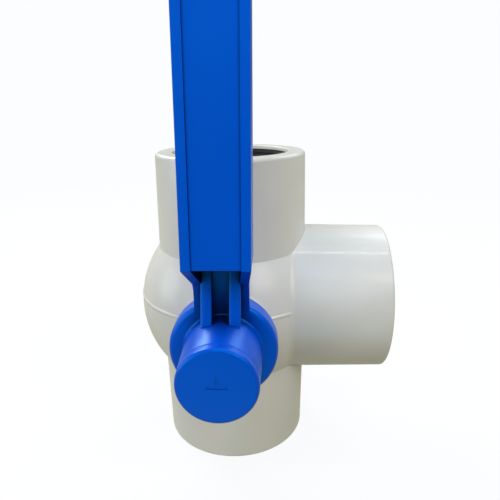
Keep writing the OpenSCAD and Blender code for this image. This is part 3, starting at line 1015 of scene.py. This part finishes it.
@dataclass
class Lever(Assembly):
    """The blue lever: its skirt and boss, ribbed neck, channelled arm, and the cap over its screw."""

    length: float = 105.0
    root_w: float = 14.6
    tip_w: float = 15.4
    neck_w: float = 12.8
    plate_start: float = 23.4
    slope_start: float = 17.4
    plate_front: float = 44.9
    lean: float = 0.12
    tip_depth: float = 6.6
    flange_t: float = 2.1
    rim_h: float = 0.5
    plate_t: float = 2.2
    pocket_end: float = 31.4
    channel_start: float = 33.4
    cross_ribs: int = 4
    cross_rib_t: float = 1.6
    skirt_back: float = 30.3
    roof_back: float = 33.4
    skirt_front: float = 35.6
    skirt_r: float = 13.0
    skirt_bore_r: float = 11.5
    lug_r: float = 9.9
    lug_angle: float = 60.0
    boss_root_r: float = 9.35
    boss_front_r: float = 9.0
    boss_top_r: float = 9.03
    boss_end: float = 48.3
    well_r: float = 6.4
    floor_back: float = 40.5
    floor_front: float = 42.5
    screw_hole_r: float = 2.25
    square: float = 8.6
    rib_in: float = 1.9
    rib_out: float = 4.5
    rib_foot: float = 7.0
    rib_root_w: float = 40.6
    rib_top_w: float = 36.6
    edge: float = 0.35
    skirt_round: float = 1.2
    skirt_ease: float = 0.25
    root_round: float = 0.6
    boss_ease: float = 0.1
    mark_depth: float = 0.12
    mark_half_t: float = 0.3
    mark_reach: float = 2.3
    cap_back: float = 48.4
    cap_front: float = 50.8
    cap_round: float = 0.9
    cap_ring_in: float = 5.3
    cap_ring_out: float = 6.35
    cap_ring_low: float = 45.8
    cap_ring_ease: float = 0.3
    cap_edge: float = 0.06

    def build(self) -> None:
        """Builds the lever and its cap."""
        self._lever()
        self._cap()

    def _front_at(self, y: float) -> float:
        """How far out the arm's front is.

        Args:
            y: The distance along the arm from the stem's axis.

        Returns:
            The front's place along the stem's axis.
        """
        return self.plate_front - self.lean * (y - self.plate_start)

    def _outline(self, inset: float) -> Profile:
        """The arm seen from the front.

        Args:
            inset: How far the outline is drawn in, such as by a wall.

        Returns:
            The outline.
        """
        neck, root = self.neck_w / 2 - inset, self.root_w / 2 - inset
        tip = arc((0, self.length - self.tip_w / 2), self.tip_w / 2 - inset, 0, 180, 32)
        return ([(neck, 0), (neck, self.slope_start), (root, self.plate_start)] + tip
                + [(-root, self.plate_start), (-neck, self.slope_start), (-neck, 0)])

    def _across(self, name: str, outline: Profile, half: float = 9.0) -> bpy.types.Object:
        """A bar right across the arm.

        Args:
            name: The object's name.
            outline: The bar seen from the side.
            half: Half the bar's length.

        Returns:
            The bar.
        """
        return self.put(name, prism(outline, -half, half, sideways=True), Facing.STEM)

    def _arm(self) -> bpy.types.Object:
        """The arm and its neck, hollowed from the back.

        Returns:
            The arm.
        """
        low, high = self.roof_back - 12, self.plate_front + 2
        tip_front = self._front_at(self.length)
        arm = self.put("arm", prism(self._outline(0), low, high), Facing.STEM)
        combine(arm, self._across("side", [
            (0, self.roof_back), (self.pocket_end, self.roof_back),
            (self.length + 1, tip_front - self.tip_depth), (self.length + 1, tip_front),
            (self.plate_start, self.plate_front), (self.slope_start, self.rib_top_w),
            (self.slope_start - 2, self.skirt_front), (0, self.skirt_front)]), Cut.KEEP)
        hollow = self.put("hollow", prism(self._outline(self.flange_t), low - 1, high + 1), Facing.STEM)
        sunk, under = self.rim_h, self.rim_h + self.plate_t
        end = self.length + 2
        for name, outline in (
            ("plate", [(self.plate_start, self.plate_front - under),
                       (self.plate_start, self.plate_front - sunk),
                       (end, self._front_at(end) - sunk), (end, self._front_at(end) - under)]),
            ("floor", rectangle(-1, self.roof_back - 1, self.pocket_end + 1, self.skirt_front))):
            combine(hollow, self._across(name, outline), Cut.REMOVE)
        pitch = (self.length - self.channel_start) / (self.cross_ribs + 1)
        walls = [(self.pocket_end, self.channel_start)] + [
            (self.channel_start + i * pitch, self.channel_start + i * pitch + self.cross_rib_t)
            for i in range(1, self.cross_ribs + 1)]
        for y0, y1 in walls:
            combine(hollow, self._across("wall", [
                (y0, low - 2), (y1, low - 2), (y1, self._front_at(y1) - under + 1),
                (y0, self._front_at(y0) - under + 1)]), Cut.REMOVE)
        combine(arm, hollow, Cut.REMOVE)
        return arm

    def _ease(self, obj: bpy.types.Object, width: float, segments: int = 3) -> None:
        """Rounds the edges of a placed solid.

        Args:
            obj: The solid, in metres.
            width: The rounding, in millimetres.
            segments: Its steps.
        """
        bm = bmesh.new()
        bm.from_mesh(obj.data)
        bmesh.ops.remove_doubles(bm, verts=bm.verts[:], dist=2e-7)
        bmesh.ops.dissolve_limit(bm, angle_limit=math.radians(1.0), verts=bm.verts[:], edges=bm.edges[:])
        round_edges(bm, width * MM, segments, over=40.0)
        bm.to_mesh(obj.data)
        bm.free()

    def _neck_ribs(self) -> list[bpy.types.Object]:
        """The two ribs that run from the boss up under the face plate.

        Returns:
            The two ribs.
        """
        outline = [(self.rib_foot, self.roof_back + 1), (self.rib_foot, self.rib_root_w),
                   (self.slope_start + 2, self.rib_top_w), (self.pocket_end + 1, self.rib_top_w),
                   (self.pocket_end + 1, self.roof_back + 1)]
        ribs = []
        for sign in (-1, 1):
            first, last = sorted((sign * self.rib_in, sign * self.rib_out))
            ribs.append(self.put("rib", prism(outline, first, last, sideways=True), Facing.STEM))
            self._ease(ribs[-1], self.edge)
        return ribs

    def _hub(self) -> bpy.types.Object:
        """The skirt and the boss, turned as one.

        Returns:
            The solid.
        """
        ease, turn, corner, tip = self.skirt_ease, self.skirt_round, self.root_round, self.boss_ease
        skirt = ([(0, self.skirt_back), (self.skirt_r - ease, self.skirt_back),
                  (self.skirt_r, self.skirt_back + ease)]
                 + arc((self.skirt_r - turn, self.skirt_front - turn), turn, 0, 90, 8))
        root = arc((self.boss_root_r + corner, self.skirt_front + corner), corner, 270, 180, 5)
        top = arc((self.boss_top_r - tip, self.boss_end - tip), tip, 0, 90, 3)
        return self.put("hub", spin(skirt + root + top + [(0, self.boss_end)], steps=128), Facing.STEM)

    def _lever(self) -> None:
        """The lever: its parts joined, then the skirt, the square hole and the screw's well cut."""
        lever = self._arm()
        self._ease(lever, self.edge)
        lever.name = lever.data.name = "lever_handle"
        for part in [self._hub(), *self._neck_ribs()]:
            combine(lever, part, Cut.JOIN)
        half = self.square / 2
        skirt = spin(rectangle(0, self.skirt_back - 1, self.skirt_bore_r, self.roof_back), steps=128)
        hole = prism(rectangle(-half, -half, half, half), self.roof_back - 1, self.floor_back)
        screw = spin([(0, self.floor_back - 1), (self.screw_hole_r, self.floor_back - 1),
                      (self.screw_hole_r, self.floor_front), (self.well_r, self.floor_front),
                      (self.well_r, self.boss_end + 1), (0, self.boss_end + 1)], steps=96)
        for tool in (skirt, hole, screw):
            combine(lever, self.put("tool", tool, Facing.STEM), Cut.REMOVE)
        first, last = -90 - self.lug_angle / 2, -90 + self.lug_angle / 2
        rim = arc((0, 0), self.skirt_bore_r + 0.5, first, last, 24)
        back = arc((0, 0), self.lug_r, last, first, 24)
        lug = prism(rim + back, self.skirt_back + 0.5, self.roof_back + 0.5)
        combine(lever, self.put("lug", lug, Facing.STEM), Cut.JOIN)
        self.add(lever, "lever", ["lever"], "lever_plastic", LEVER_PLASTIC)

    def _cap(self) -> None:
        """The cap: a disc over the boss, its plug ring, and a shallow tee mark on its face."""
        turn, ease, edge, face_r = self.cap_round, self.cap_ring_ease, self.cap_edge, self.boss_front_r
        inner, outer, low, back = self.cap_ring_in, self.cap_ring_out, self.cap_ring_low, self.cap_back
        profile = ([(0, back), (inner, back), (inner, low + ease), (inner + ease, low), (outer - ease, low),
                    (outer, low + ease), (outer, back), (face_r - edge, back), (face_r, back + edge)]
                   + arc((face_r - turn, self.cap_front - turn), turn, 0, 90, 8) + [(0, self.cap_front)])
        cap = self.put("screw_cap", spin(profile, steps=128), Facing.STEM)
        half_t, reach = self.mark_half_t, self.mark_reach
        for bar in (rectangle(-reach, -half_t, reach, half_t), rectangle(-half_t, half_t / 2, half_t, reach)):
            groove = prism(bar, self.cap_front - self.mark_depth, self.cap_front + 1)
            combine(cap, self.put("mark", groove, Facing.STEM), Cut.REMOVE)
        self.add(cap, "lever", ["lever_cap"], "lever_plastic", LEVER_PLASTIC)


@dataclass
class InnerPieces(Assembly):
    """The small inner pieces, which keep the frame's own meshes."""

    finishes: dict[str, Plastic | Steel] = field(default_factory=lambda: {
        "top_seat": SEAT_PLASTIC, "bottom_seat": SEAT_PLASTIC, "side_seat": SEAT_PLASTIC,
        "stem_thrust_washer": SEAT_PLASTIC, "stem": STEM_PLASTIC,
        "top_seat_cushion": SEAL_RUBBER, "bottom_seat_cushion": SEAL_RUBBER, "side_seat_cushion": SEAL_RUBBER,
        "stem_o_ring_inner": SEAL_RUBBER, "stem_o_ring_outer": SEAL_RUBBER,
        "lever_washer": Steel(), "lever_screw": Steel()})

    def build(self) -> None:
        """Dresses each node."""
        for name, finish in self.finishes.items():
            node = frame["nodes"][name]
            self.paints.dress(node, finish)
            LOG.info("dressed %s", name)


# ---------------------------------------------------------------- the studio


@dataclass(frozen=True)
class Lamp:
    """A rectangular lamp that faces the ball's centre.

    Its place is given from that centre and its size in metres, and its power in watts. A lamp that
    is sheen only shows in reflections and gives no diffuse light.
    """

    name: str
    place: tuple[float, float, float]
    size: tuple[float, float]
    power: float
    tone: Colour
    sheen_only: bool = False

    def light(self) -> None:
        """Adds the lamp to the scene."""
        data = bpy.data.lights.new(self.name, "AREA")
        data.shape = "RECTANGLE"
        data.size, data.size_y = self.size
        data.energy = self.power
        data.color = self.tone
        lamp = add_object(self.name, data)
        lamp.visible_diffuse = not self.sheen_only
        lamp.location = LAYOUT.centre + Vector(self.place)
        lamp.rotation_mode = "QUATERNION"
        lamp.rotation_quaternion = (LAYOUT.centre - lamp.location).to_track_quat("-Z", "Y")


@dataclass
class Studio:
    """A pale floor, soft light from several sides and the camera."""

    floor_size: float = 8.0
    floor_tone: Colour = (0.08, 0.08, 0.08)
    paper_tone: Colour = (0.971, 0.982, 1.0)
    paper_glow: float = 0.92
    eye: tuple[float, float, float] = (0.01103, -0.13701, 0.05704)
    yaw: float = -2.468
    pitch: float = 17.461
    roll: float = -0.797
    lens: float = 34.837
    room_light: float = 0.232
    room_tone: Colour = (1.0, 0.98, 0.71)
    table_sheen: float = 0.25
    lamps: tuple[Lamp, ...] = (
        Lamp("front_overhead", (0.0, -0.40, 0.69), (0.4, 0.4), 1.8, (0.50, 0.68, 1.0)),
        Lamp("right_high", (0.46, -0.46, 0.46), (0.4, 0.4), 2.6, (1.0, 0.92, 0.82)),
        Lamp("left_side", (-0.78, -0.10, 0.15), (0.4, 0.4), 1.68, (0.92, 0.95, 1.0)),
        Lamp("back_left_high", (-0.40, 0.45, 0.52), (0.4, 0.4), 4.6, (1.0, 0.955, 0.875)),
        Lamp("back_right_high", (0.40, 0.45, 0.52), (0.4, 0.4), 1.95, (0.80, 0.87, 1.0)),
        Lamp("front_left", (-0.50, -0.60, 0.10), (0.4, 0.4), 1.5, (1.0, 0.97, 0.93)),
        Lamp("front_window", (0.0, -0.72, 0.36), (0.6, 0.30), 0.6, (0.50, 0.85, 1.0), sheen_only=True),
        Lamp("front_table", (0.0, -0.60, -0.42), (0.6, 0.35), 0.5, (0.15, 0.70, 1.0), sheen_only=True),
        Lamp("overhead_strip", (0.11, 0.0, 0.60), (0.008, 0.30), 0.55, (0.88, 0.94, 1.0)))

    def build(self) -> None:
        """Builds the floor, the light and the camera."""
        self._floor()
        self._sky()
        for lamp in self.lamps:
            lamp.light()
        self._camera()
        LOG.info("set up the studio")

    def _floor(self) -> None:
        """A glowing white floor that takes only a faint shadow, and none far from the valve."""
        bm = bmesh.new()
        bmesh.ops.create_grid(bm, x_segments=1, y_segments=1, size=self.floor_size / 2)
        mesh = bpy.data.meshes.new("floor")
        bm.to_mesh(mesh)
        bm.free()
        floor = add_object("floor", mesh)
        mat, shader, where = start_material("white_paper")
        tree = mat.node_tree
        away = tree.nodes.new("ShaderNodeVectorMath")
        away.operation = "LENGTH"
        tree.links.new(where, away.inputs[0])
        far = spread(tree, away.outputs["Value"], 0.12, 0.5)
        base = blend_colours(tree, far, self.floor_tone, (0.0, 0.0, 0.0))
        tree.links.new(base, shader.inputs["Base Color"])
        glow = tuple(c * self.paper_glow for c in self.paper_tone)
        tree.links.new(blend_colours(tree, far, glow, self.paper_tone), shader.inputs["Emission Color"])
        shader.inputs["Emission Strength"].default_value = 1.0
        shader.inputs["Roughness"].default_value = 1.0
        shader.inputs["Specular IOR Level"].default_value = 0.0
        mesh.materials.append(mat)
        floor.visible_diffuse = False
        floor.visible_glossy = False
        floor.visible_shadow = False

    def _sky(self) -> None:
        """An even warm room for the valve, and plain white behind it."""
        world = bpy.data.worlds.new("soft_room")
        bpy.context.scene.world = world
        world.use_nodes = True
        tree = world.node_tree
        tree.nodes.clear()
        room = tree.nodes.new("ShaderNodeBackground")
        room.inputs["Color"].default_value = (*self.room_tone, 1)
        path = tree.nodes.new("ShaderNodeLightPath")
        split = tree.nodes.new("ShaderNodeSeparateXYZ")
        tree.links.new(tree.nodes.new("ShaderNodeTexCoord").outputs["Generated"], split.inputs[0])
        below = spread(tree, split.outputs["Z"], 0.05, -0.15)
        table = math_node(tree, "MULTIPLY", below, path.outputs["Is Glossy Ray"])
        table = math_node(tree, "MULTIPLY", table, self.table_sheen)
        tree.links.new(math_node(tree, "ADD", table, self.room_light), room.inputs["Strength"])
        plain = tree.nodes.new("ShaderNodeBackground")
        plain.inputs["Color"].default_value = (*self.paper_tone, 1)
        mix = tree.nodes.new("ShaderNodeMixShader")
        tree.links.new(path.outputs["Is Camera Ray"], mix.inputs[0])
        tree.links.new(room.outputs[0], mix.inputs[1])
        tree.links.new(plain.outputs[0], mix.inputs[2])
        tree.links.new(mix.outputs[0], tree.nodes.new("ShaderNodeOutputWorld").inputs["Surface"])

    def _camera(self) -> None:
        """The camera, with its place given from the ball's centre."""
        data = bpy.data.cameras.new("camera")
        data.lens = self.lens
        data.sensor_width = 36.0
        data.clip_start = 0.01
        camera = add_object("camera", data)
        yaw, pitch, roll = (math.radians(a) for a in (self.yaw, self.pitch, self.roll))
        ahead = Vector((math.sin(yaw) * math.cos(pitch), math.cos(yaw) * math.cos(pitch), -math.sin(pitch)))
        right = Vector((math.cos(yaw), -math.sin(yaw), 0))
        up = right.cross(ahead)
        turned_right = right * math.cos(roll) + up * math.sin(roll)
        turned_up = up * math.cos(roll) - right * math.sin(roll)
        camera.matrix_world = Matrix.Translation(LAYOUT.centre + Vector(self.eye)) @ Matrix((
            turned_right, turned_up, -ahead)).transposed().to_4x4()
        bpy.context.scene.camera = camera


def main() -> None:
    """Builds the valve around the frame, then the studio."""
    logging.basicConfig(level=logging.INFO, format="%(name)s: %(message)s")
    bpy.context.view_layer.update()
    paints = Paints()
    for kind in (Sockets, Seals, Ball, Lever, InnerPieces):
        kind(LAYOUT, paints).build()
    Studio().build()
    bpy.context.scene.view_settings.view_transform = "Standard"


if __name__ == "__main__":
    main()
